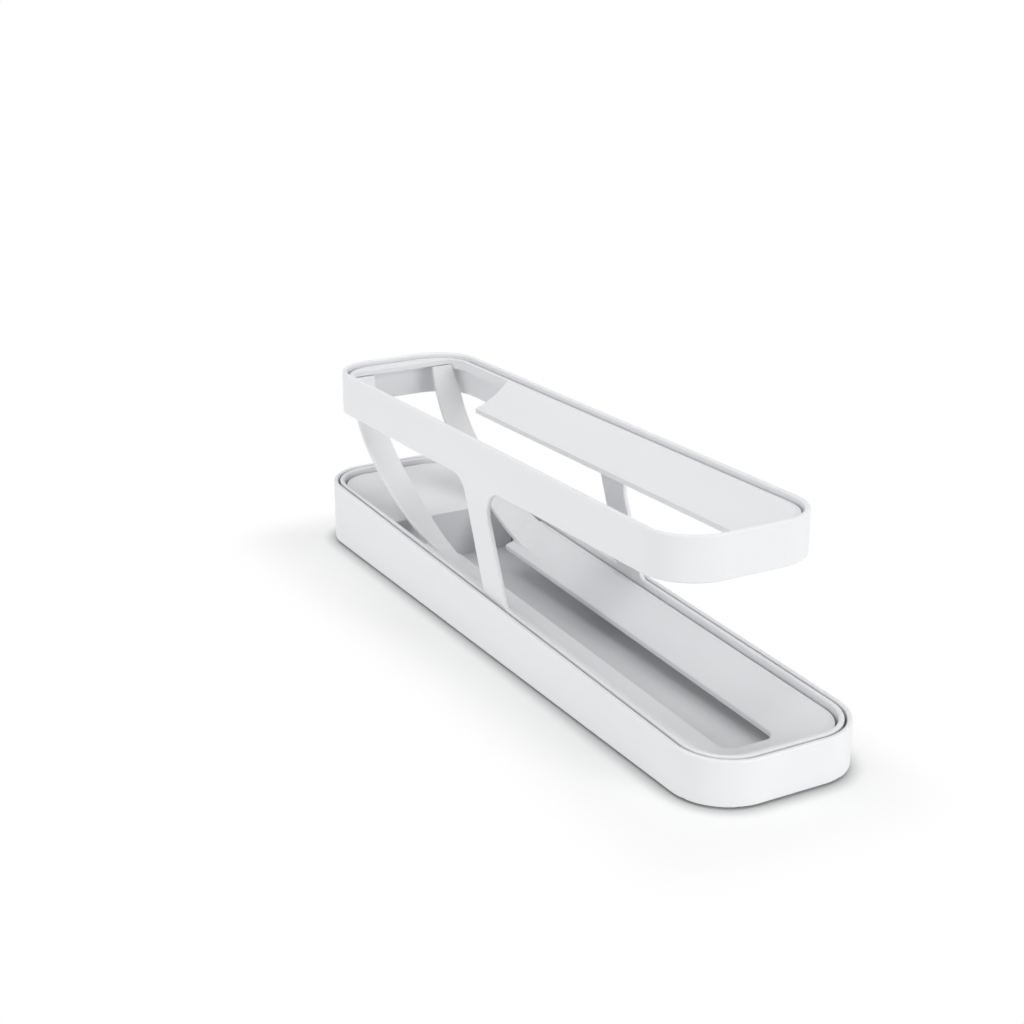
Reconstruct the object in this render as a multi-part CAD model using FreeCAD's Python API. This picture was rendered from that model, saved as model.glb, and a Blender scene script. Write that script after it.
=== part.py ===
import FreeCAD, Part
import math
import os

# Egg dispenser: a rack with two sloping trough tracks stands in a base tray.
# All sizes are in millimetres. X is the width, Y the length, Z is up.
# The front is at -Y. The origin is on the ground under the middle of the tray.

# Base tray
base_width = 82.2
base_length = 367.1
base_corner_radius = 24.7
base_wall = 2.2
base_floor = 2.2
base_bottom_round = 0.8
rim_front_height = 20.8
rim_back_height = 33.7
rim_round = 0.8
insert_round = 0.5

# Feet under the tray
foot_radius = 6.0
foot_stand = 0.8
foot_recess = 0.6
foot_side_clearance = 0.2
foot_corner_inset = 15.0

# Rack frame: upper band, two slanted legs and the lower ring
ring_clearance = 1.1
frame_wall = 2.3
band_front = -152.7
band_back = 174.1
band_corner_radius = 23.4
band_top_front_height = 102.4
band_top_back_height = 95.0
band_front_depth = 19.7
band_back_depth = 21.9
leg_top_offset = 13.4
leg_top_width = 18.6
leg_foot_offset = -8.5
leg_foot_width = 20.4
leg_top_fillet = 11.5
leg_foot_front_fillet = 4.0
leg_foot_rear_fillet = 1.5
leg_root = 2.0

# Rests inside the frame that carry the tracks and the rear deck
rest_reach = 1.5
rest_length = 12.0
rest_height = 2.5
rest_root = 1.0

# Tracks
track_clearance = 1.2
track_skirt = 5.0
track_wall = 2.3
slot_width = 26.0
slot_corner_radius = 6.0
lower_slot_round = 0.8
upper_rim_drop = 2.4
upper_rim_width = 2.4
upper_trough_depth = 12.0
upper_deck_length = 9.6
upper_drop_length = 57.0
lower_rim_drop = 2.7
lower_rim_width = 2.9
lower_trough_depth = 9.0
lower_track_back = 72.0

# Rear deck behind the lower track
rear_deck_front = 105.0
deck_thickness = 2.3

# Chute rails
rail_side_clearance = 0.6
rail_width = 14.0
rail_thickness = 2.2
rail_round = 0.4
rail_foot = 50.5
rail_tip = 38.0
rail_tip_sink = 0.9
rail_tip_thickness = 1.0
rail_foot_proud = 0.2
rail_low_radius = 162.0
rail_turn_degrees = 33.8
rail_twist_start = 128.0
rail_gap = 0.4

# Margins used only for cutting
cut_margin = 5.0
reach = 400.0
trough_steps = 6
rail_steps = 8


def vec(x, y, z):
    return FreeCAD.Vector(x, y, z)


def line_through(y_a, z_a, y_b, z_b):
    """Sloping line in the side view, as its height at y = 0 and its slope."""
    slope = (z_b - z_a) / (y_b - y_a)
    return (z_a - slope * y_a, slope)


def height(line, y):
    return line[0] + line[1] * y


def lowered(line, drop):
    return (line[0] - drop, line[1])


def sunk(line, depth):
    """Sloping line at a depth square to the given one."""
    return lowered(line, depth * math.hypot(1.0, line[1]))


# Sizes that follow from the ones above
base_half_width = base_width / 2.0
base_half_length = base_length / 2.0
floor_top = foot_stand + base_floor
rim_line = line_through(-base_half_length, rim_front_height, base_half_length, rim_back_height)
ring_inset = base_wall + ring_clearance
frame_half_width = base_half_width - ring_inset
ring_half_length = base_half_length - ring_inset
ring_corner_radius = base_corner_radius - ring_inset
band_top = line_through(band_front, band_top_front_height, band_back, band_top_back_height)
band_bottom = line_through(
    band_front,
    band_top_front_height - band_front_depth,
    band_back,
    band_top_back_height - band_back_depth,
)
track_inset = frame_wall + track_clearance
track_half_width = frame_half_width - track_inset
upper_rim_line = lowered(band_top, upper_rim_drop)
lower_rim_line = lowered(rim_line, lower_rim_drop)
upper_front = band_front + track_inset
upper_back = band_back - track_inset
upper_corner_radius = band_corner_radius - track_inset
lower_front = -ring_half_length + track_inset
lower_back = ring_half_length - track_inset
lower_corner_radius = ring_corner_radius - track_inset
upper_deck_front = upper_back - upper_deck_length
upper_trough_back = upper_deck_front - upper_drop_length
slot_half_width = slot_width / 2.0
rail_outer_offset = track_half_width - upper_rim_width - rail_side_clearance
rail_inner_offset = rail_outer_offset - rail_width


def arc_edge(cx, cy, z, radius, start_degrees, end_degrees):
    """Level arc about a centre, by its start, middle and end."""
    points = []
    for degrees in (start_degrees, (start_degrees + end_degrees) / 2.0, end_degrees):
        angle = math.radians(degrees)
        points.append(vec(cx + radius * math.cos(angle), cy + radius * math.sin(angle), z))
    return Part.Arc(points[0], points[1], points[2]).toShape()


def outline(half_width, front, back, front_radius, back_radius, z):
    """Closed level wire of a rectangle with rounded or square ends."""
    f = front_radius
    b = back_radius
    edges = [Part.makeLine(vec(-half_width + f, front, z), vec(half_width - f, front, z))]
    if f > 0:
        edges.append(arc_edge(half_width - f, front + f, z, f, -90, 0))
    edges.append(Part.makeLine(vec(half_width, front + f, z), vec(half_width, back - b, z)))
    if b > 0:
        edges.append(arc_edge(half_width - b, back - b, z, b, 0, 90))
    edges.append(Part.makeLine(vec(half_width - b, back, z), vec(-half_width + b, back, z)))
    if b > 0:
        edges.append(arc_edge(-half_width + b, back - b, z, b, 90, 180))
    edges.append(Part.makeLine(vec(-half_width, back - b, z), vec(-half_width, front + f, z)))
    if f > 0:
        edges.append(arc_edge(-half_width + f, front + f, z, f, 180, 270))
    return Part.Wire(edges)


def prism(half_width, front, back, front_radius, back_radius, z_low, z_high):
    """Upright solid on a rounded rectangle."""
    wire = outline(half_width, front, back, front_radius, back_radius, z_low)
    return Part.Face(wire).extrude(vec(0, 0, z_high - z_low))


def side_block(points, x_low, x_high):
    """Solid from a side view polygon of (y, z) points, between two X values."""
    corners = [vec(x_low, y, z) for y, z in points]
    wire = Part.makePolygon(corners + [corners[0]])
    return Part.Face(wire).extrude(vec(x_high - x_low, 0, 0))


def space_above(line):
    points = [(-reach, height(line, -reach)), (reach, height(line, reach)), (reach, reach), (-reach, reach)]
    return side_block(points, -reach, reach)


def space_below(line):
    points = [(-reach, height(line, -reach)), (reach, height(line, reach)), (reach, -reach), (-reach, -reach)]
    return side_block(points, -reach, reach)


def space_before(y):
    return side_block([(-reach, -reach), (y, -reach), (y, reach), (-reach, reach)], -reach, reach)


def space_behind(y):
    return side_block([(y, -reach), (reach, -reach), (reach, reach), (y, reach)], -reach, reach)


def edges_on_line(shape, line):
    """Edges that lie wholly in the sloping plane of a side view line."""
    found = []
    for edge in shape.Edges:
        middle = edge.valueAt((edge.FirstParameter + edge.LastParameter) / 2.0)
        points = [vertex.Point for vertex in edge.Vertexes] + [middle]
        if all(abs(point.z - height(line, point.y)) < 0.01 for point in points):
            found.append(edge)
    return found


def edges_at_height(shape, z):
    return edges_on_line(shape, (z, 0.0))


def window_edges(shape):
    """Edges of the side faces of the frame between the lower rim and the band."""
    found = []
    for edge in shape.Edges:
        middle = edge.valueAt((edge.FirstParameter + edge.LastParameter) / 2.0)
        points = [vertex.Point for vertex in edge.Vertexes] + [middle]
        level = all(abs(point.x - middle.x) < 0.01 for point in points)
        above = all(point.z > height(rim_line, point.y) - 0.01 for point in points)
        below = all(point.z < height(band_bottom, point.y) + 0.01 for point in points)
        if level and above and below:
            found.append(edge)
    return found


def unique_edges(edges):
    found = []
    for edge in edges:
        if not any(edge.isSame(other) for other in found):
            found.append(edge)
    return found


def mirrored(shape):
    return shape.mirror(vec(0, 0, 0), vec(1, 0, 0))


def foot_centres():
    """Foot names with their plan positions."""
    x = base_half_width - foot_corner_inset
    y = base_half_length - foot_corner_inset
    return {
        "front_left_foot": (-x, -y),
        "front_right_foot": (x, -y),
        "rear_left_foot": (-x, y),
        "rear_right_foot": (x, y),
    }


def tray_body(inset, z_low):
    """Tray body from a level upwards, inset all round."""
    radius = base_corner_radius - inset
    half_length = base_half_length - inset
    z_high = rim_back_height + cut_margin
    return prism(base_half_width - inset, -half_length, half_length, radius, radius, z_low, z_high)


def make_base_tray():
    outer = tray_body(0.0, foot_stand)
    outer = outer.makeFillet(base_bottom_round, edges_at_height(outer, foot_stand))
    tray = outer.cut(tray_body(base_wall, floor_top))
    tray = tray.cut(space_above(rim_line))
    tray = tray.makeFillet(rim_round, edges_on_line(tray, rim_line))
    pocket_radius = foot_radius + foot_side_clearance
    for x, y in foot_centres().values():
        tray = tray.cut(Part.makeCylinder(pocket_radius, foot_recess, vec(x, y, foot_stand)))
    return tray


def make_foot(x, y):
    return Part.makeCylinder(foot_radius, foot_stand + foot_recess, vec(x, y, 0))


def ring(half_width, front, back, radius, z_low, z_high):
    """Upright wall that follows a rounded rectangle."""
    outer = prism(half_width, front, back, radius, radius, z_low, z_high)
    inner_radius = radius - frame_wall
    inner = prism(
        half_width - frame_wall,
        front + frame_wall,
        back - frame_wall,
        inner_radius,
        inner_radius,
        z_low - cut_margin,
        z_high + cut_margin,
    )
    return outer.cut(inner)


def make_band():
    z_low = min(height(band_bottom, band_front), height(band_bottom, band_back)) - cut_margin
    z_high = max(band_top_front_height, band_top_back_height) + cut_margin
    band = ring(frame_half_width, band_front, band_back, band_corner_radius, z_low, z_high)
    band = band.cut(space_above(band_top))
    return band.cut(space_below(band_bottom))


def make_lower_ring():
    z_high = rim_back_height + cut_margin
    lower = ring(
        frame_half_width, -ring_half_length, ring_half_length, ring_corner_radius, floor_top, z_high
    )
    return lower.cut(space_above(rim_line))


def rounded_corner(corner, toward_a, toward_b, radius):
    """Arc that rounds a corner between two directions, with its end points."""
    a = (toward_a - corner).normalize()
    b = (toward_b - corner).normalize()
    half_angle = a.getAngle(b) / 2.0
    bisector = (a + b).normalize()
    centre = corner + bisector * (radius / math.sin(half_angle))
    start = corner + a * (radius / math.tan(half_angle))
    end = corner + b * (radius / math.tan(half_angle))
    return start, Part.Arc(start, centre - bisector * radius, end).toShape(), end


def make_leg():
    """Slanted leg on the +X side, rounded into the band and the lower ring."""
    x = frame_half_width - frame_wall
    rear_top_y = leg_top_offset + leg_top_width / 2.0
    front_top_y = leg_top_offset - leg_top_width / 2.0
    rear_foot_y = leg_foot_offset + leg_foot_width / 2.0
    front_foot_y = leg_foot_offset - leg_foot_width / 2.0
    rear_top = vec(x, rear_top_y, height(band_bottom, rear_top_y))
    front_top = vec(x, front_top_y, height(band_bottom, front_top_y))
    rear_foot = vec(x, rear_foot_y, height(rim_line, rear_foot_y))
    front_foot = vec(x, front_foot_y, height(rim_line, front_foot_y))
    band_rear = vec(x, band_back, height(band_bottom, band_back))
    band_fore = vec(x, band_front, height(band_bottom, band_front))
    ring_rear = vec(x, ring_half_length, height(rim_line, ring_half_length))
    ring_fore = vec(x, -ring_half_length, height(rim_line, -ring_half_length))
    a_start, a_arc, a_end = rounded_corner(rear_top, band_rear, rear_foot, leg_top_fillet)
    b_start, b_arc, b_end = rounded_corner(rear_foot, rear_top, ring_rear, leg_foot_rear_fillet)
    c_start, c_arc, c_end = rounded_corner(front_foot, ring_fore, front_top, leg_foot_front_fillet)
    d_start, d_arc, d_end = rounded_corner(front_top, front_foot, band_fore, leg_top_fillet)
    down = vec(0, 0, -leg_root)
    up = vec(0, 0, leg_root)
    edges = [
        a_arc,
        Part.makeLine(a_end, b_start),
        b_arc,
        Part.makeLine(b_end, b_end + down),
        Part.makeLine(b_end + down, c_start + down),
        Part.makeLine(c_start + down, c_start),
        c_arc,
        Part.makeLine(c_end, d_start),
        d_arc,
        Part.makeLine(d_end, d_end + up),
        Part.makeLine(d_end + up, a_start + up),
        Part.makeLine(a_start + up, a_start),
    ]
    return Part.Face(Part.Wire(edges)).extrude(vec(frame_wall, 0, 0))


def make_rests(line, positions):
    """Pairs of small rests on the side walls with their tops in a sloping plane."""
    x_wall = frame_half_width - frame_wall
    x_low = x_wall - track_clearance - rest_reach
    under = lowered(line, rest_height)
    rests = []
    for y in positions:
        fore = y - rest_length / 2.0
        rear = y + rest_length / 2.0
        points = [
            (fore, height(line, fore)),
            (rear, height(line, rear)),
            (rear, height(under, rear)),
            (fore, height(under, fore)),
        ]
        rest = side_block(points, x_low, x_wall + rest_root)
        rests.append(rest)
        rests.append(mirrored(rest))
    return rests


def spread(low, high, count):
    """Evenly spaced positions between two ends, both included."""
    return [low + (high - low) * step / (count - 1) for step in range(count)]


def make_rack_frame():
    leg = make_leg()
    frame = make_band().fuse([make_lower_ring(), leg, mirrored(leg)]).removeSplitter()
    edges = window_edges(frame)
    for line in (band_top, band_bottom, rim_line):
        edges += edges_on_line(frame, line)
    frame = frame.makeFillet(rim_round, unique_edges(edges))
    upper_rest_plane = sunk(upper_rim_line, track_skirt)
    lower_rest_plane = sunk(lower_rim_line, track_skirt)
    upper_places = spread(upper_front + base_corner_radius, upper_trough_back - rest_length, 4)
    track_places = spread(lower_front + base_corner_radius, lower_track_back - rest_length, 3)
    deck_places = spread(rear_deck_front + rest_length, lower_back - base_corner_radius, 2)
    rests = make_rests(upper_rest_plane, upper_places)
    rests += make_rests(lower_rest_plane, track_places + deck_places)
    return frame.fuse(rests)


def trough_arc(rim_half_width, depth):
    """Radius and centre height of the trough section above its rim."""
    centre = (rim_half_width ** 2 - slot_half_width ** 2 - depth ** 2) / (2.0 * depth)
    return math.hypot(rim_half_width, centre), centre


def rounded_top(shape):
    """Soften the edges of a level shape's top face."""
    return shape.makeFillet(insert_round, edges_at_height(shape, 0.0))


def make_track(front, back, front_radius, back_radius, rim_width, depth, trough_back):
    """Level trough insert with its rim at z = 0, open at the rear of the trough."""
    rim_half_width = track_half_width - rim_width
    radius, centre = trough_arc(rim_half_width, depth)
    rim_angle = math.asin(rim_half_width / radius)
    slot_angle = math.asin(slot_half_width / radius)
    rim_corner = front_radius - rim_width
    slot_inset = rim_half_width - slot_half_width

    def section(x, drop, end):
        inset = rim_half_width - x
        corner = rim_corner - inset * (rim_corner - slot_corner_radius) / slot_inset
        return outline(x, front + rim_width + inset, end, corner, 0.0, -drop)

    def bowl(arc_radius, last_angle, end):
        wires = []
        for step in range(trough_steps + 1):
            angle = rim_angle + (last_angle - rim_angle) * step / trough_steps
            wires.append(section(arc_radius * math.sin(angle), arc_radius * math.cos(angle) - centre, end))
        return Part.makeLoft(wires, True, False)

    outer_radius = radius + track_wall
    under_angle = math.asin((slot_half_width - track_wall) / outer_radius)
    slab = prism(track_half_width, front, back, front_radius, back_radius, -track_skirt, 0.0)
    body = rounded_top(slab).fuse(bowl(outer_radius, under_angle, trough_back))
    body = body.cut(bowl(radius, slot_angle, trough_back + cut_margin))
    slot = prism(
        slot_half_width,
        front + rim_width + slot_inset,
        trough_back + cut_margin,
        slot_corner_radius,
        0.0,
        -depth - track_skirt - cut_margin,
        cut_margin,
    )
    return body.cut(slot)


def laid_on(shape, line):
    """Turn a level shape to a sloping plane of the side view."""
    placed = shape.copy()
    placed.rotate(vec(0, 0, 0), vec(1, 0, 0), math.degrees(math.atan(line[1])))
    placed.translate(vec(0, 0, line[0]))
    return placed


def drop_space(gap, z_low, z_high):
    """Space inside the rim of the upper track, less a gap all round."""
    inset = upper_rim_width + gap
    back_radius = upper_corner_radius - inset
    return prism(track_half_width - inset, upper_front, upper_back - inset, 0.0, back_radius, z_low, z_high)


def make_upper_track():
    track = make_track(
        upper_front,
        upper_back,
        upper_corner_radius,
        upper_corner_radius,
        upper_rim_width,
        upper_trough_depth,
        upper_trough_back,
    )
    opening = drop_space(0.0, -reach, cut_margin)
    opening = opening.cut(space_before(upper_trough_back))
    opening = opening.cut(space_behind(upper_deck_front))
    pocket = drop_space(0.0, -reach, -deck_thickness).common(space_behind(upper_deck_front))
    return laid_on(track.cut(opening).cut(pocket), upper_rim_line)


def rail_path():
    """Points of the rail's upper face in the side view, each with its slope angle."""
    foot_angle = math.atan(lower_rim_line[1])
    turn_angle = math.radians(rail_turn_degrees)
    foot_y = rail_foot
    foot_z = height(lower_rim_line, rail_foot) + rail_foot_proud
    path = []
    for step in range(rail_steps + 1):
        angle = foot_angle + (turn_angle - foot_angle) * step / rail_steps
        y = foot_y + rail_low_radius * (math.sin(angle) - math.sin(foot_angle))
        z = foot_z + rail_low_radius * (math.cos(foot_angle) - math.cos(angle))
        path.append((y, z, angle))
    turn_y, turn_z, turn_angle = path[-1]
    top_y = upper_deck_front
    top_z = height(upper_rim_line, upper_deck_front)
    along = (top_y - turn_y) * math.cos(turn_angle) + (top_z - turn_z) * math.sin(turn_angle)
    across = (top_z - turn_z) * math.cos(turn_angle) - (top_y - turn_y) * math.sin(turn_angle)
    high_radius = (along ** 2 + across ** 2) / (2.0 * across)
    top_angle = turn_angle + 2.0 * math.atan2(across, along)
    for step in range(1, rail_steps + 1):
        angle = turn_angle + (top_angle - turn_angle) * step / rail_steps
        y = turn_y + high_radius * (math.sin(angle) - math.sin(turn_angle))
        z = turn_z + high_radius * (math.cos(turn_angle) - math.cos(angle))
        path.append((y, z, angle))
    return path


def eased_wire(corners, radius):
    """Closed wire through four corners, each eased by an arc that starts a radius away from it."""
    edges = []
    last_end = None
    for index, corner in enumerate(corners):
        before = (corners[index - 1] - corner).normalize()
        after = (corners[(index + 1) % len(corners)] - corner).normalize()
        start = corner + before * radius
        end = corner + after * radius
        middle = corner + (before + after) * (radius * (1.0 - math.sqrt(0.5)))
        if last_end is None:
            first_start = start
        else:
            edges.append(Part.makeLine(last_end, start))
        edges.append(Part.Arc(start, middle, end).toShape())
        last_end = end
    edges.append(Part.makeLine(last_end, first_start))
    return Part.Wire(edges)


def rail_section(y, z, angle, drop, thickness):
    """Closed wire across the rail, square to its path; the inner edge hangs lower."""
    away = vec(0, math.sin(angle), -math.cos(angle))
    outer = vec(rail_outer_offset, y, z)
    inner = vec(rail_inner_offset, y, z) + away * drop
    corners = [outer, inner, inner + away * thickness, outer + away * thickness]
    return eased_wire(corners, rail_round)


def make_whole_rail():
    """Rail on the +X side from its tip in the lower trough to above the upper deck's underside."""
    radius, centre = trough_arc(track_half_width - lower_rim_width, lower_trough_depth)
    side_depth = math.sqrt(radius ** 2 - rail_inner_offset ** 2) - centre
    foot_angle = math.atan(lower_rim_line[1])
    tip_z = height(lower_rim_line, rail_tip) - rail_tip_sink
    wires = [rail_section(rail_tip, tip_z, foot_angle, side_depth, rail_tip_thickness)]
    for y, z, angle in rail_path():
        part = min(max((rail_twist_start - y) / (rail_twist_start - rail_foot), 0.0), 1.0)
        drop = side_depth * part * part * (3.0 - 2.0 * part)
        wires.append(rail_section(y, z, angle, drop, rail_thickness))
    return Part.makeLoft(wires, True, False)


def make_lower_track(rail):
    track = make_track(
        lower_front,
        lower_track_back + cut_margin,
        lower_corner_radius,
        0.0,
        lower_rim_width,
        lower_trough_depth,
        lower_track_back + cut_margin,
    )
    track = track.makeFillet(lower_slot_round, edges_at_height(track, -lower_trough_depth))
    track = laid_on(track, lower_rim_line).fuse([rail, mirrored(rail)])
    return track.cut(space_behind(lower_track_back))


def make_chute_rail(rail):
    upper = rail.common(space_behind(lower_track_back))
    seat = sunk(upper_rim_line, deck_thickness + rail_gap)
    return upper.cut(space_above(seat)).common(drop_space(rail_gap, -reach, reach))


def make_rear_deck():
    plate = prism(
        track_half_width, rear_deck_front, lower_back, 0.0, lower_corner_radius, -track_skirt, 0.0
    )
    pocket_radius = lower_corner_radius - deck_thickness
    pocket = prism(
        track_half_width - deck_thickness,
        rear_deck_front + deck_thickness,
        lower_back - deck_thickness,
        0.0,
        pocket_radius,
        -track_skirt - cut_margin,
        -deck_thickness,
    )
    deck = laid_on(rounded_top(plate).cut(pocket), lower_rim_line)
    lip_front = rear_deck_front * math.cos(math.atan(lower_rim_line[1]))
    lip_rear = lip_front + deck_thickness
    lip_top = lowered(lower_rim_line, deck_thickness)
    points = [
        (lip_front, floor_top),
        (lip_rear, floor_top),
        (lip_rear, height(lip_top, lip_rear)),
        (lip_front, height(lip_top, lip_front)),
    ]
    lip = side_block(points, -track_half_width, track_half_width)
    return deck.fuse(lip)


def build_nodes():
    rail = make_whole_rail()
    right_rail = make_chute_rail(rail)
    nodes = {
        "base_tray": make_base_tray(),
        "rack_frame": make_rack_frame(),
        "upper_track": make_upper_track(),
        "lower_track": make_lower_track(rail),
        "rear_deck": make_rear_deck(),
        "left_chute_rail": mirrored(right_rail),
        "right_chute_rail": right_rail,
    }
    for name, (x, y) in foot_centres().items():
        nodes[name] = make_foot(x, y)
    return nodes


os.makedirs("parts", exist_ok=True)
for node_name, node_shape in build_nodes().items():
    node_shape.exportStep("parts/" + node_name + ".step")
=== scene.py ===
import logging
import math
from dataclasses import dataclass
from enum import Enum
from typing import Any, ClassVar

import bpy
from mathutils import Matrix, Vector


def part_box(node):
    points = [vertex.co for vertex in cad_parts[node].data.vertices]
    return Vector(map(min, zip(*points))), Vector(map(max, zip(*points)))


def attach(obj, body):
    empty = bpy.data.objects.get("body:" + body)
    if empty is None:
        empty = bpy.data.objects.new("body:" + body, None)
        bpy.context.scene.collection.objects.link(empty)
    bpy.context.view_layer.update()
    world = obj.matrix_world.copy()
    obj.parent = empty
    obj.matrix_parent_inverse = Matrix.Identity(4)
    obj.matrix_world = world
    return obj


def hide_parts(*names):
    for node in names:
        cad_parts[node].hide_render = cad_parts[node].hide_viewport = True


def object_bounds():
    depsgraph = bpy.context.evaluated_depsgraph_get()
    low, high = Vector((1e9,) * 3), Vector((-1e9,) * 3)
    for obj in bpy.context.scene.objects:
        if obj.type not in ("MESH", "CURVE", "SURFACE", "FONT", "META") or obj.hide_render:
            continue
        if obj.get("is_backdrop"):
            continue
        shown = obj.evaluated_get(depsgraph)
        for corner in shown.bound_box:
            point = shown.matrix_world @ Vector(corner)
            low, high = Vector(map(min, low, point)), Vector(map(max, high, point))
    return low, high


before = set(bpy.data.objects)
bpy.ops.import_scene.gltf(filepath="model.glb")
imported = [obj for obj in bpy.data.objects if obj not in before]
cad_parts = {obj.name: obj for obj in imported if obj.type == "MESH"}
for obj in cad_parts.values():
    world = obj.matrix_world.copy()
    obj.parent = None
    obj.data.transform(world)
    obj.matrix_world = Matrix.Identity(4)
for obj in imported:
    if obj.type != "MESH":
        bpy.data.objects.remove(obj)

LOG = logging.getLogger("egg_dispenser")
# Lengths are in metres, in the frame of the CAD model.
MM = 0.001
WHITE = (1.0, 1.0, 1.0, 1.0)
# Strength of a glow that shows as plain white.
WHITE_GLOW = 1.0

Colour = tuple[float, float, float, float]
Point = tuple[float, float, float]
Feed = bpy.types.NodeSocket | float | Point


class Grain(Enum):
    """Mould textures, as cells per metre and bump distance in metres."""

    SATIN = (2600.0, 0.000030)
    SMOOTH = (1700.0, 0.000016)
    RUBBER = (4200.0, 0.000050)

    @property
    def cells(self) -> float:
        """Cells per metre."""
        return self.value[0]

    @property
    def depth(self) -> float:
        """Bump distance in metres."""
        return self.value[1]


class Side(Enum):
    """Side of a node group that its sockets are on."""

    INPUT = "INPUT"
    OUTPUT = "OUTPUT"


class Blend(Enum):
    """Kinds of mix node, as data type and the ending of its sockets' identifiers."""

    NUMBER = ("FLOAT", "Float")
    COLOUR = ("RGBA", "Color")

    @property
    def data_type(self) -> str:
        """Data type of the mix node."""
        return self.value[0]

    @property
    def ending(self) -> str:
        """Ending of the sockets' identifiers."""
        return self.value[1]


class NodeSheet:
    """A node tree with short calls for adding and linking nodes."""

    def __init__(self, tree: bpy.types.NodeTree) -> None:
        """Start on a tree, which is emptied first."""
        self.tree = tree
        tree.nodes.clear()

    def open_sockets(self, side: Side, kinds: dict[str, str]) -> None:
        """Make the sockets of a node group on one side.

        Args:
            side: The side they are on.
            kinds: Kind of each socket by its name, such as Float or Color.
        """
        for name, kind in kinds.items():
            self.tree.interface.new_socket(
                name=name, in_out=side.value, socket_type="NodeSocket" + kind
            )

    def add(self, kind: str, **values: Any) -> bpy.types.Node:
        """Add a node and set its properties.

        Args:
            kind: The node's type name.
            values: Properties by name.

        Returns:
            The new node.
        """
        node = self.tree.nodes.new(kind)
        for key, value in values.items():
            setattr(node, key, value)
        return node

    def put(self, node: bpy.types.Node, **sockets: Any) -> None:
        """Set input values of a node, with underscores for spaces in the sockets' names."""
        for key, value in sockets.items():
            node.inputs[key.replace("_", " ")].default_value = value

    def link(self, source: bpy.types.NodeSocket, target: bpy.types.NodeSocket) -> None:
        """Link two sockets."""
        self.tree.links.new(source, target)

    def feed(self, value: Feed, target: bpy.types.NodeSocket) -> None:
        """Link a socket to an input, or set the input to a plain value.

        Args:
            value: A socket, a number or a vector.
            target: The input.
        """
        if isinstance(value, bpy.types.NodeSocket):
            self.link(value, target)
        else:
            target.default_value = value

    def work_out(self, kind: str, operation: str, terms: tuple[Feed, ...]) -> bpy.types.Node:
        """Add a math or vector math node and feed its inputs in order.

        Args:
            kind: The node's type name.
            operation: What the node does.
            terms: What goes into it.

        Returns:
            The new node.
        """
        node = self.add(kind, operation=operation)
        for term, target in zip(terms, node.inputs):
            self.feed(term, target)
        return node

    def number(self, operation: str, *terms: Feed) -> bpy.types.NodeSocket:
        """Give the result of a math node."""
        return self.work_out("ShaderNodeMath", operation, terms).outputs["Value"]

    def vector(self, operation: str, *terms: Feed) -> bpy.types.NodeSocket:
        """Give the result of a vector math node."""
        return self.work_out("ShaderNodeVectorMath", operation, terms).outputs["Vector"]

    def length(self, term: Feed) -> bpy.types.NodeSocket:
        """Give the length of a vector."""
        return self.work_out("ShaderNodeVectorMath", "LENGTH", (term,)).outputs["Value"]

    def blend(self, kind: Blend, factor: Feed, first: Feed, second: Feed) -> bpy.types.NodeSocket:
        """Mix two numbers or two colours.

        Args:
            kind: What is mixed.
            factor: The share of the second end.
            first: The first end.
            second: The second end.

        Returns:
            The result's socket.
        """
        node = self.add("ShaderNodeMix", data_type=kind.data_type)
        targets = {socket.identifier: socket for socket in node.inputs}
        self.feed(factor, targets["Factor_Float"])
        self.feed(first, targets["A_" + kind.ending])
        self.feed(second, targets["B_" + kind.ending])
        results = {socket.identifier: socket for socket in node.outputs}
        return results["Result_" + kind.ending]

    def seen_rays(self) -> bpy.types.NodeSocket:
        """Give a value of 1 for rays that show the background, and 0 for those that light.

        Returns:
            The mask's socket.
        """
        rays = self.add("ShaderNodeLightPath").outputs
        direct = self.number("MAXIMUM", rays["Is Camera Ray"], rays["Is Glossy Ray"])
        return self.number("MAXIMUM", direct, rays["Is Transmission Ray"])


@dataclass(frozen=True)
class ShaderGroup:
    """A shader node group that is built once and placed in several materials."""

    name: str = "Shader Group"
    inputs: ClassVar[dict[str, str]] = {}
    outputs: ClassVar[dict[str, str]] = {}

    def tree(self) -> bpy.types.NodeTree:
        """Give the group's tree, built on first use.

        Returns:
            The node group.
        """
        found = bpy.data.node_groups.get(self.name)
        if found is not None:
            return found
        made = bpy.data.node_groups.new(self.name, "ShaderNodeTree")
        sheet = NodeSheet(made)
        sheet.open_sockets(Side.INPUT, self.inputs)
        sheet.open_sockets(Side.OUTPUT, self.outputs)
        self.fill(sheet, sheet.add("NodeGroupInput"), sheet.add("NodeGroupOutput"))
        return made

    def fill(self, sheet: NodeSheet, inside: bpy.types.Node, outside: bpy.types.Node) -> None:
        """Make the nodes between the group's input and its output."""
        raise NotImplementedError

    def place(self, sheet: NodeSheet) -> bpy.types.Node:
        """Place the group in a material's sheet."""
        return sheet.add("ShaderNodeGroup", node_tree=self.tree())


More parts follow.
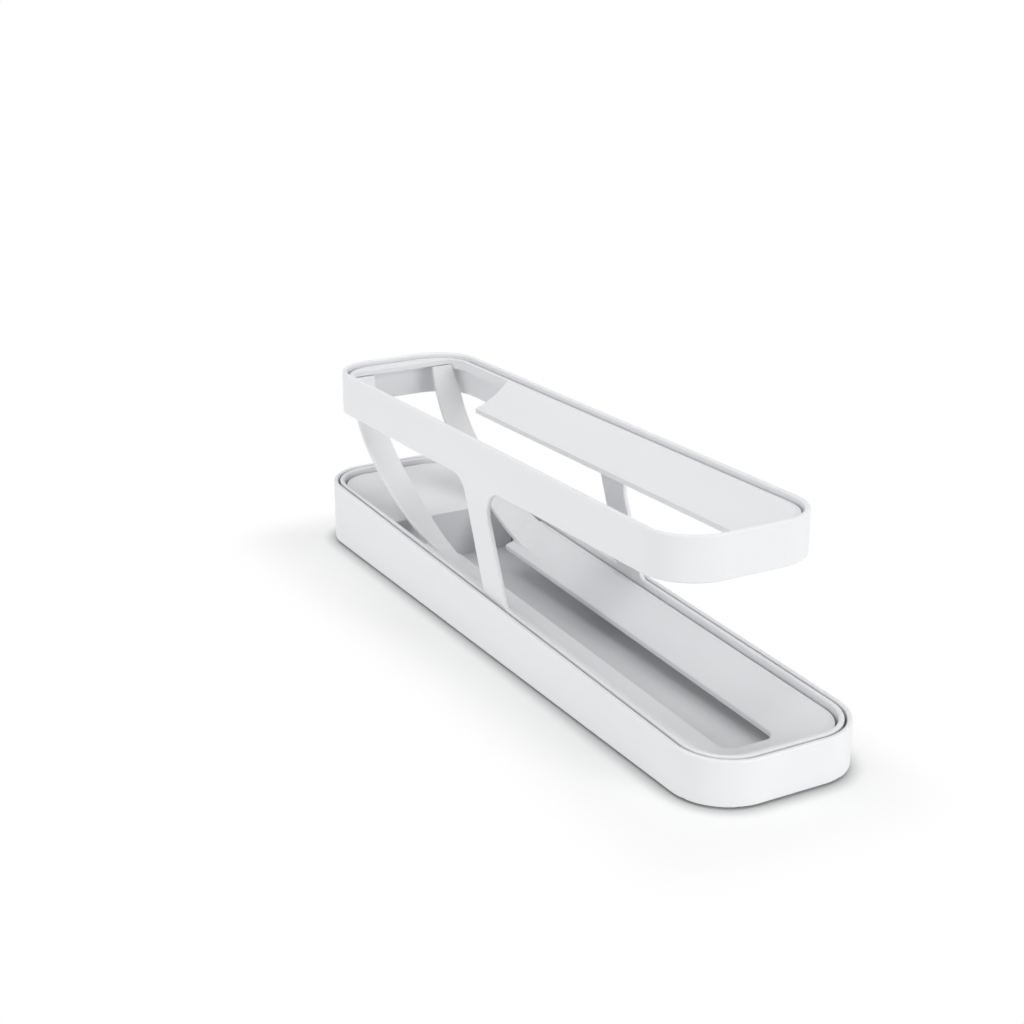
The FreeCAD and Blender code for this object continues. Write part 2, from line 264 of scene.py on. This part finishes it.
@dataclass(frozen=True)
class MouldGrain(ShaderGroup):
    """Fine texture that a spark-eroded mould leaves on plastic."""

    name: str = "Mould Grain"
    inputs: ClassVar[dict[str, str]] = {"Vector": "Vector", "Cells": "Float"}
    outputs: ClassVar[dict[str, str]] = {"Height": "Float", "Speckle": "Float"}
    fine_detail: float = 3.0
    fine_roughness: float = 0.62
    coarse_detail: float = 2.0
    coarse_roughness: float = 0.5
    coarse_cells: float = 0.28
    coarse_share: float = 0.35

    def fill(self, sheet: NodeSheet, inside: bpy.types.Node, outside: bpy.types.Node) -> None:
        """Make fine and coarse cells and mix them.

        Args:
            sheet: The group's sheet.
            inside: The group input node.
            outside: The group output node.
        """
        cells = inside.outputs["Cells"]
        fine = sheet.add("ShaderNodeTexNoise", noise_dimensions="3D")
        sheet.put(fine, Detail=self.fine_detail, Roughness=self.fine_roughness)
        sheet.link(inside.outputs["Vector"], fine.inputs["Vector"])
        sheet.link(cells, fine.inputs["Scale"])
        coarse = sheet.add("ShaderNodeTexNoise", noise_dimensions="3D")
        sheet.put(coarse, Detail=self.coarse_detail, Roughness=self.coarse_roughness)
        sheet.link(inside.outputs["Vector"], coarse.inputs["Vector"])
        sheet.link(sheet.number("MULTIPLY", cells, self.coarse_cells), coarse.inputs["Scale"])
        height = sheet.blend(
            Blend.NUMBER, self.coarse_share, fine.outputs["Fac"], coarse.outputs["Fac"]
        )
        sheet.link(height, outside.inputs["Height"])
        sheet.link(coarse.outputs["Fac"], outside.inputs["Speckle"])


@dataclass(frozen=True)
class FlowTone(ShaderGroup):
    """Slow change of tone along a moulding, from how the melt filled the mould."""

    name: str = "Flow Tone"
    inputs: ClassVar[dict[str, str]] = {
        "Vector": "Vector", "Colour": "Color", "Shade": "Color", "Amount": "Float"
    }
    outputs: ClassVar[dict[str, str]] = {"Colour": "Color"}
    stretch: Point = (1.0, 0.35, 1.6)
    clouds: float = 22.0
    detail: float = 4.0
    roughness: float = 0.55
    distortion: float = 0.4
    low: float = 0.32
    high: float = 0.68

    def fill(self, sheet: NodeSheet, inside: bpy.types.Node, outside: bpy.types.Node) -> None:
        """Make stretched clouds and mix the two tones by them.

        Args:
            sheet: The group's sheet.
            inside: The group input node.
            outside: The group output node.
        """
        given = inside.outputs
        stretched = sheet.add("ShaderNodeMapping")
        sheet.put(stretched, Scale=self.stretch)
        sheet.link(given["Vector"], stretched.inputs["Vector"])
        slow = sheet.add("ShaderNodeTexNoise", noise_dimensions="3D")
        sheet.put(
            slow,
            Scale=self.clouds,
            Detail=self.detail,
            Roughness=self.roughness,
            Distortion=self.distortion,
        )
        sheet.link(stretched.outputs["Vector"], slow.inputs["Vector"])
        spread = sheet.add("ShaderNodeMapRange")
        sheet.put(spread, From_Min=self.low, From_Max=self.high)
        sheet.link(slow.outputs["Fac"], spread.inputs["Value"])
        factor = sheet.number("MULTIPLY", spread.outputs["Result"], given["Amount"])
        toned = sheet.blend(Blend.COLOUR, factor, given["Colour"], given["Shade"])
        sheet.link(toned, outside.inputs["Colour"])


@dataclass(frozen=True)
class MouldedFinish:
    """A moulded plastic or rubber surface with grain and slow tone."""

    name: str
    colour: Colour
    shade: Colour
    grain: Grain
    rough_low: float
    rough_high: float
    specular: float = 0.45
    ior: float = 1.49
    tone_amount: float = 0.7
    speckle_low: float = 0.3
    speckle_high: float = 0.7

    def material(self) -> bpy.types.Material:
        """Give the material, built on first use.

        Returns:
            The node material.
        """
        found = bpy.data.materials.get(self.name)
        if found is not None:
            return found
        made = bpy.data.materials.new(self.name)
        made.use_nodes = True
        sheet = NodeSheet(made.node_tree)
        place = sheet.add("ShaderNodeTexCoord").outputs["Object"]
        grain = MouldGrain().place(sheet)
        sheet.put(grain, Cells=self.grain.cells)
        sheet.link(place, grain.inputs["Vector"])
        tone = FlowTone().place(sheet)
        sheet.put(tone, Colour=self.colour, Shade=self.shade, Amount=self.tone_amount)
        sheet.link(place, tone.inputs["Vector"])
        rough = sheet.add("ShaderNodeMapRange")
        sheet.put(rough, From_Min=self.speckle_low, From_Max=self.speckle_high)
        sheet.put(rough, To_Min=self.rough_low, To_Max=self.rough_high)
        sheet.link(grain.outputs["Speckle"], rough.inputs["Value"])
        bump = sheet.add("ShaderNodeBump")
        sheet.put(bump, Distance=self.grain.depth)
        sheet.link(grain.outputs["Height"], bump.inputs["Height"])
        surface = sheet.add("ShaderNodeBsdfPrincipled")
        sheet.put(surface, Specular_IOR_Level=self.specular, IOR=self.ior)
        sheet.link(tone.outputs["Colour"], surface.inputs["Base Color"])
        sheet.link(rough.outputs["Result"], surface.inputs["Roughness"])
        sheet.link(bump.outputs["Normal"], surface.inputs["Normal"])
        output = sheet.add("ShaderNodeOutputMaterial")
        sheet.link(surface.outputs["BSDF"], output.inputs["Surface"])
        return made


TRAY_FINISH = MouldedFinish(
    "tray_white_plastic",
    colour=(0.802, 0.810, 0.826, 1.0),
    shade=(0.784, 0.792, 0.808, 1.0),
    grain=Grain.SATIN,
    rough_low=0.40,
    rough_high=0.52,
)
RACK_FINISH = MouldedFinish(
    "rack_white_plastic",
    colour=(0.785, 0.793, 0.808, 1.0),
    shade=(0.767, 0.775, 0.790, 1.0),
    grain=Grain.SATIN,
    rough_low=0.38,
    rough_high=0.50,
)
TRACK_FINISH = MouldedFinish(
    "track_white_plastic",
    colour=(0.775, 0.782, 0.797, 1.0),
    shade=(0.755, 0.762, 0.777, 1.0),
    grain=Grain.SMOOTH,
    rough_low=0.34,
    rough_high=0.46,
)
RAIL_FINISH = MouldedFinish(
    "rail_white_plastic",
    colour=(0.755, 0.76, 0.77, 1.0),
    shade=(0.735, 0.74, 0.75, 1.0),
    grain=Grain.SMOOTH,
    rough_low=0.34,
    rough_high=0.46,
)
PAD_FINISH = MouldedFinish(
    "pad_grey_rubber",
    colour=(0.42, 0.42, 0.42, 1.0),
    shade=(0.36, 0.36, 0.36, 1.0),
    grain=Grain.RUBBER,
    rough_low=0.7,
    rough_high=0.86,
    specular=0.3,
)


@dataclass(frozen=True)
class GripPads:
    """The round rubber pads under the tray, ribbed below, in place of the plain ones.

    The ribs are rings. The inner one lies first_rib steps from the middle and the others a step
    apart, and rib_count steps reach rim_share of the pad's radius.
    """

    finish: MouldedFinish = PAD_FINISH
    segments: int = 48
    rib_count: int = 3
    rib_wire: float = 0.35 * MM
    rib_sides: int = 8
    first_rib: float = 0.6
    rim_share: float = 0.98

    def build(self) -> tuple[str, ...]:
        """Make the pads and hide the plain ones that they replace.

        Returns:
            The name of the piece.
        """
        names = [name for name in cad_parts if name.endswith("_foot")]
        boxes = [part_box(name) for name in names]
        places = bpy.data.meshes.new("grip_pad_places")
        places.from_pydata([(low + high) / 2.0 for low, high in boxes], [], [])
        carrier = bpy.data.objects.new("grip_pads", places)
        bpy.context.scene.collection.objects.link(carrier)
        self.grow(carrier, *boxes[0])
        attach(carrier, "base")
        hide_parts(*names)
        return (carrier.name,)

    def grow(self, carrier: bpy.types.Object, low: Vector, high: Vector) -> None:
        """Turn the places into a plain mesh of ribbed pads.

        Args:
            carrier: The object that holds the places.
            low: Lowest corner of one plain pad.
            high: Highest corner of the same pad.
        """
        tree = self.pads_tree()
        modifier = carrier.modifiers.new("Pads", "NODES")
        modifier.node_group = tree
        sizes = {
            "Radius": (high.x - low.x) / 2.0,
            "Height": high.z - low.z,
            "Rib Wire": self.rib_wire,
            "Rib Count": self.rib_count,
            "Segments": self.segments,
        }
        for item in tree.interface.items_tree:
            if item.in_out == Side.INPUT.value and item.name in sizes:
                modifier[item.identifier] = sizes[item.name]
        bpy.context.view_layer.update()
        graph = bpy.context.evaluated_depsgraph_get()
        mesh = bpy.data.meshes.new_from_object(carrier.evaluated_get(graph), depsgraph=graph)
        carrier.modifiers.remove(modifier)
        carrier.data = mesh
        mesh.name = carrier.name

    def pads_tree(self) -> bpy.types.NodeTree:
        """Build the tree that sets a ribbed pad on each place.

        Returns:
            The geometry node tree.
        """
        tree = bpy.data.node_groups.new("Grip Pads", "GeometryNodeTree")
        sheet = NodeSheet(tree)
        sheet.open_sockets(Side.INPUT, {"Geometry": "Geometry"})
        sheet.open_sockets(Side.INPUT, {"Radius": "Float", "Height": "Float", "Rib Wire": "Float"})
        sheet.open_sockets(Side.INPUT, {"Rib Count": "Int", "Segments": "Int"})
        sheet.open_sockets(Side.OUTPUT, {"Geometry": "Geometry"})
        given = sheet.add("NodeGroupInput").outputs
        outside = sheet.add("NodeGroupOutput")
        pad = sheet.add("GeometryNodeJoinGeometry")
        sheet.link(self.core(sheet, given), pad.inputs["Geometry"])
        sheet.link(self.ribs(sheet, given), pad.inputs["Geometry"])
        pads = sheet.add("GeometryNodeInstanceOnPoints")
        sheet.link(given["Geometry"], pads.inputs["Points"])
        sheet.link(pad.outputs["Geometry"], pads.inputs["Instance"])
        real = sheet.add("GeometryNodeRealizeInstances")
        sheet.link(pads.outputs["Instances"], real.inputs["Geometry"])
        dressed = sheet.add("GeometryNodeSetMaterial")
        sheet.put(dressed, Material=self.finish.material())
        sheet.link(real.outputs["Geometry"], dressed.inputs["Geometry"])
        sheet.link(dressed.outputs["Geometry"], outside.inputs["Geometry"])
        return tree

    def core(self, sheet: NodeSheet, given: bpy.types.NodeOutputs) -> bpy.types.NodeSocket:
        """Make the round body of a pad, which stops short of the ribs' lowest line.

        Args:
            sheet: The tree's sheet.
            given: The tree's inputs by name.

        Returns:
            The body's socket.
        """
        body = sheet.add("GeometryNodeMeshCylinder")
        sheet.link(given["Segments"], body.inputs["Vertices"])
        sheet.link(given["Radius"], body.inputs["Radius"])
        sheet.link(
            sheet.number("SUBTRACT", given["Height"], given["Rib Wire"]), body.inputs["Depth"]
        )
        lift = sheet.number("MULTIPLY", given["Rib Wire"], 0.5)
        return self.raise_by(sheet, body.outputs["Mesh"], lift)

    def ribs(self, sheet: NodeSheet, given: bpy.types.NodeOutputs) -> bpy.types.NodeSocket:
        """Make the ring-shaped ribs under a pad.

        Args:
            sheet: The tree's sheet.
            given: The tree's inputs by name.

        Returns:
            The ribs' socket.
        """
        steps = sheet.add("GeometryNodeMeshLine", mode="OFFSET")
        sheet.put(steps, Offset=(0.0, 0.0, 0.0))
        sheet.link(given["Rib Count"], steps.inputs["Count"])
        circle = sheet.add("GeometryNodeCurvePrimitiveCircle", mode="RADIUS")
        sheet.link(given["Segments"], circle.inputs["Resolution"])
        sheet.link(
            sheet.number("MULTIPLY", given["Radius"], self.rim_share), circle.inputs["Radius"]
        )
        index = sheet.add("GeometryNodeInputIndex").outputs["Index"]
        step = sheet.number("ADD", index, self.first_rib)
        share = sheet.number("DIVIDE", step, given["Rib Count"])
        widen = sheet.add("ShaderNodeCombineXYZ")
        sheet.put(widen, Z=1.0)
        for axis in ("X", "Y"):
            sheet.link(share, widen.inputs[axis])
        rings = sheet.add("GeometryNodeInstanceOnPoints")
        sheet.link(steps.outputs["Mesh"], rings.inputs["Points"])
        sheet.link(circle.outputs["Curve"], rings.inputs["Instance"])
        sheet.link(widen.outputs["Vector"], rings.inputs["Scale"])
        lines = sheet.add("GeometryNodeRealizeInstances")
        sheet.link(rings.outputs["Instances"], lines.inputs["Geometry"])
        section = sheet.add("GeometryNodeCurvePrimitiveCircle", mode="RADIUS")
        sheet.put(section, Resolution=self.rib_sides)
        sheet.link(given["Rib Wire"], section.inputs["Radius"])
        tubes = sheet.add("GeometryNodeCurveToMesh")
        sheet.link(lines.outputs["Geometry"], tubes.inputs["Curve"])
        sheet.link(section.outputs["Curve"], tubes.inputs["Profile Curve"])
        bottom = sheet.number("MULTIPLY", given["Height"], -0.5)
        centre = sheet.number("ADD", bottom, given["Rib Wire"])
        return self.raise_by(sheet, tubes.outputs["Mesh"], centre)

    @staticmethod
    def raise_by(
        sheet: NodeSheet, shape: bpy.types.NodeSocket, height: bpy.types.NodeSocket
    ) -> bpy.types.NodeSocket:
        """Move a shape straight up.

        Args:
            sheet: The tree's sheet.
            shape: The shape's socket.
            height: How far it goes.

        Returns:
            The moved shape's socket.
        """
        way = sheet.add("ShaderNodeCombineXYZ")
        sheet.link(height, way.inputs["Z"])
        moved = sheet.add("GeometryNodeTransform")
        sheet.link(shape, moved.inputs["Geometry"])
        sheet.link(way.outputs["Vector"], moved.inputs["Translation"])
        return moved.outputs["Geometry"]


@dataclass(frozen=True)
class SubAssembly:
    """A group of CAD pieces that is dressed in one finish."""

    pieces: tuple[str, ...]
    finish: MouldedFinish

    def build(self) -> tuple[str, ...]:
        """Dress the pieces.

        Returns:
            The pieces' names.
        """
        for name in self.pieces:
            self.dress(name)
        return self.pieces

    def dress(self, name: str) -> None:
        """Give a CAD piece the finish."""
        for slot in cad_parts[name].material_slots:
            slot.material = self.finish.material()


@dataclass(frozen=True)
class BaseTray(SubAssembly):
    """The long tray and the grip pads under it."""

    pieces: tuple[str, ...] = ("base_tray",)
    finish: MouldedFinish = TRAY_FINISH
    pads: GripPads = GripPads()

    def build(self) -> tuple[str, ...]:
        """Dress the tray and make the grip pads."""
        return super().build() + self.pads.build()


@dataclass(frozen=True)
class RackFrame(SubAssembly):
    """The upper band, the slanted legs and the lower ring in one moulding."""

    pieces: tuple[str, ...] = ("rack_frame",)
    finish: MouldedFinish = RACK_FINISH


@dataclass(frozen=True)
class TrackSet(SubAssembly):
    """The two trough tracks and the deck behind the lower one."""

    pieces: tuple[str, ...] = ("upper_track", "lower_track", "rear_deck")
    finish: MouldedFinish = TRACK_FINISH


@dataclass(frozen=True)
class ChuteRails(SubAssembly):
    """The two curved rails from the upper to the lower track."""

    pieces: tuple[str, ...] = ("left_chute_rail", "right_chute_rail")
    finish: MouldedFinish = RAIL_FINISH


@dataclass(frozen=True)
class PaperFloor:
    """The pale floor, with painted contact shade where the object touches it, and plain white away
    from it.

    The paper turns white over fade_end from a box of the object's size. That box is moved by
    fade_shift to the left and the front, so the shade reaches further on those sides.
    """

    half: float = 4.0
    tone: float = 0.94
    painted_shade_tone: float = 0.45
    contact_reach: float = 0.010
    contact_samples: int = 12
    contact_low: float = 0.4
    contact_high: float = 0.9
    fade_end: float = 0.044
    fade_shift: Point = (0.018, 0.012, 0.0)

    def build(self) -> str:
        """Make the floor.

        Returns:
            Its name.
        """
        # The object's box is taken before the floor can count in it.
        material = self.material(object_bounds()[1])
        half = self.half
        mesh = bpy.data.meshes.new("floor")
        corners = [(-half, -half, 0), (half, -half, 0), (half, half, 0), (-half, half, 0)]
        mesh.from_pydata(corners, [], [(0, 1, 2, 3)])
        mesh.materials.append(material)
        floor = bpy.data.objects.new("floor", mesh)
        bpy.context.scene.collection.objects.link(floor)
        floor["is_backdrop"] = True
        return floor.name

    def material(self, corner: Vector) -> bpy.types.Material:
        """Make the paper, which glows white to the eye away from the object and has painted
        contact shade near it.

        Args:
            corner: Highest corner of the object's box.

        Returns:
            The node material.
        """
        made = bpy.data.materials.new("floor_paper")
        made.use_nodes = True
        sheet = NodeSheet(made.node_tree)
        seen = sheet.seen_rays()
        # Painted contact shade, seen only by rays that show the floor; rays that light the object
        # see the plain tone.
        tone = sheet.blend(Blend.NUMBER, seen, self.tone, self.painted_contact_shade(sheet))
        paper = sheet.add("ShaderNodeBsdfDiffuse")
        sheet.link(tone, paper.inputs["Color"])
        glow = sheet.add("ShaderNodeEmission")
        sheet.put(glow, Color=WHITE, Strength=WHITE_GLOW)
        mix = sheet.add("ShaderNodeMixShader")
        factor, near, far = mix.inputs
        sheet.link(sheet.number("MULTIPLY", self.fade(sheet, corner), seen), factor)
        sheet.link(paper.outputs["BSDF"], near)
        sheet.link(glow.outputs["Emission"], far)
        output = sheet.add("ShaderNodeOutputMaterial")
        sheet.link(mix.outputs["Shader"], output.inputs["Surface"])
        return made

    def painted_contact_shade(self, sheet: NodeSheet) -> bpy.types.NodeSocket:
        """Give the paper's tone, with painted contact shade: darker close to the object, by
        ambient occlusion.

        Args:
            sheet: The paper's sheet.

        Returns:
            The tone's socket.
        """
        # Painted shade: the paper's colour darkens where the occlusion node finds the object
        # close.
        contact = sheet.add("ShaderNodeAmbientOcclusion", samples=self.contact_samples)
        sheet.put(contact, Distance=self.contact_reach)
        shade = sheet.add("ShaderNodeMapRange")
        sheet.put(shade, From_Min=self.contact_low, From_Max=self.contact_high)
        sheet.put(shade, To_Min=self.painted_shade_tone, To_Max=self.tone)
        sheet.link(contact.outputs["AO"], shade.inputs["Value"])
        return shade.outputs["Result"]

    def fade(self, sheet: NodeSheet, corner: Vector) -> bpy.types.NodeSocket:
        """Give a mask that rises from 0 beside the moved box to 1 away from it.

        Args:
            sheet: The paper's sheet.
            corner: Highest corner of the object's box.

        Returns:
            The mask's socket.
        """
        place = sheet.add("ShaderNodeTexCoord").outputs["Object"]
        mirrored = sheet.vector("ABSOLUTE", sheet.vector("ADD", place, self.fade_shift))
        beyond = sheet.vector("SUBTRACT", mirrored, (corner.x, corner.y, 0.0))
        outer = sheet.vector("MAXIMUM", beyond, (0.0, 0.0, 0.0))
        mask = sheet.add("ShaderNodeMapRange", interpolation_type="SMOOTHSTEP")
        sheet.put(mask, From_Max=self.fade_end)
        sheet.link(sheet.length(outer), mask.inputs["Value"])
        return mask.outputs["Result"]


@dataclass(frozen=True)
class Surround:
    """The world around the object: white to the eye, softer as a light."""

    strength: float = 0.40

    def build(self) -> str:
        """Make the world.

        Returns:
            Its name.
        """
        world = bpy.data.worlds.new("surround")
        bpy.context.scene.world = world
        world.use_nodes = True
        sheet = NodeSheet(world.node_tree)
        strength = sheet.add("ShaderNodeMapRange")
        sheet.put(strength, To_Min=self.strength, To_Max=WHITE_GLOW)
        sheet.link(sheet.seen_rays(), strength.inputs["Value"])
        background = sheet.add("ShaderNodeBackground")
        sheet.put(background, Color=WHITE)
        sheet.link(strength.outputs["Result"], background.inputs["Strength"])
        output = sheet.add("ShaderNodeOutputWorld")
        sheet.link(background.outputs["Background"], output.inputs["Surface"])
        return world.name


@dataclass(frozen=True)
class SoftBox:
    """A square area lamp that points at the object."""

    name: str
    place: Point
    side: float
    power: float
    aim: Point = (0.0, 0.0, 0.05)

    def build(self) -> str:
        """Make the lamp.

        Returns:
            Its name.
        """
        lamp = bpy.data.lights.new(self.name, "AREA")
        lamp.shape = "SQUARE"
        lamp.size = self.side
        lamp.energy = self.power
        made = bpy.data.objects.new(self.name, lamp)
        bpy.context.scene.collection.objects.link(made)
        made.location = self.place
        direction = Vector(self.aim) - Vector(self.place)
        made.rotation_euler = direction.to_track_quat("-Z", "Y").to_euler()
        return made.name


@dataclass(frozen=True)
class Viewpoint:
    """The camera at the photograph's viewpoint, with its angles in degrees."""

    lens: float = 62.47
    sensor: float = 36.0
    place: Point = (-0.39686, -0.66881, 0.34021)
    azimuth: float = -29.166
    elevation: float = 19.779
    roll: float = -0.072
    clip_start: float = 0.01
    clip_end: float = 50.0

    def build(self) -> str:
        """Make the camera.

        Returns:
            Its name.
        """
        data = bpy.data.cameras.new("camera")
        data.lens = self.lens
        data.sensor_width = self.sensor
        data.clip_start = self.clip_start
        data.clip_end = self.clip_end
        camera = bpy.data.objects.new("camera", data)
        bpy.context.scene.collection.objects.link(camera)
        camera.matrix_world = Matrix.Translation(self.place) @ self.axes()
        bpy.context.scene.camera = camera
        return camera.name

    def axes(self) -> Matrix:
        """Work out the camera's turn from its three angles.

        Returns:
            The turn as a matrix of four rows.
        """
        turn, tilt, roll = map(math.radians, (self.azimuth, self.elevation, self.roll))
        level = Vector((math.cos(turn), math.sin(turn), 0.0))
        flat = math.cos(tilt)
        back = Vector((math.sin(turn) * flat, -math.cos(turn) * flat, math.sin(tilt)))
        upright = back.cross(level)
        right = level * math.cos(roll) + upright * math.sin(roll)
        up = upright * math.cos(roll) - level * math.sin(roll)
        return Matrix((right, up, back)).transposed().to_4x4()


@dataclass(frozen=True)
class Studio:
    """The floor, the white surround, the lamps and the camera."""

    floor: PaperFloor = PaperFloor()
    surround: Surround = Surround()
    lamps: tuple[SoftBox, ...] = (
        SoftBox("top_box", place=(0.0, 0.20, 1.35), side=1.4, power=9.2),
        SoftBox("left_box", place=(-1.30, 0.10, 0.52), side=0.8, power=6.2),
        SoftBox("front_box", place=(0.45, -1.45, 0.50), side=0.8, power=11.0),
    )
    viewpoint: Viewpoint = Viewpoint()

    def build(self) -> tuple[str, ...]:
        """Make the whole studio.

        Returns:
            The names of what is in it.
        """
        bpy.context.scene.view_settings.view_transform = "Standard"
        parts = (self.floor, self.surround, *self.lamps, self.viewpoint)
        return tuple(part.build() for part in parts)


def main() -> None:
    """Build and dress the egg dispenser and its studio."""
    logging.basicConfig(level=logging.INFO, format="%(message)s")
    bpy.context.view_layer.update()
    for group in (BaseTray(), RackFrame(), TrackSet(), ChuteRails(), Studio()):
        for piece in group.build():
            LOG.info("%s: %s is ready", type(group).__name__, piece)


if __name__ == "__main__":
    main()
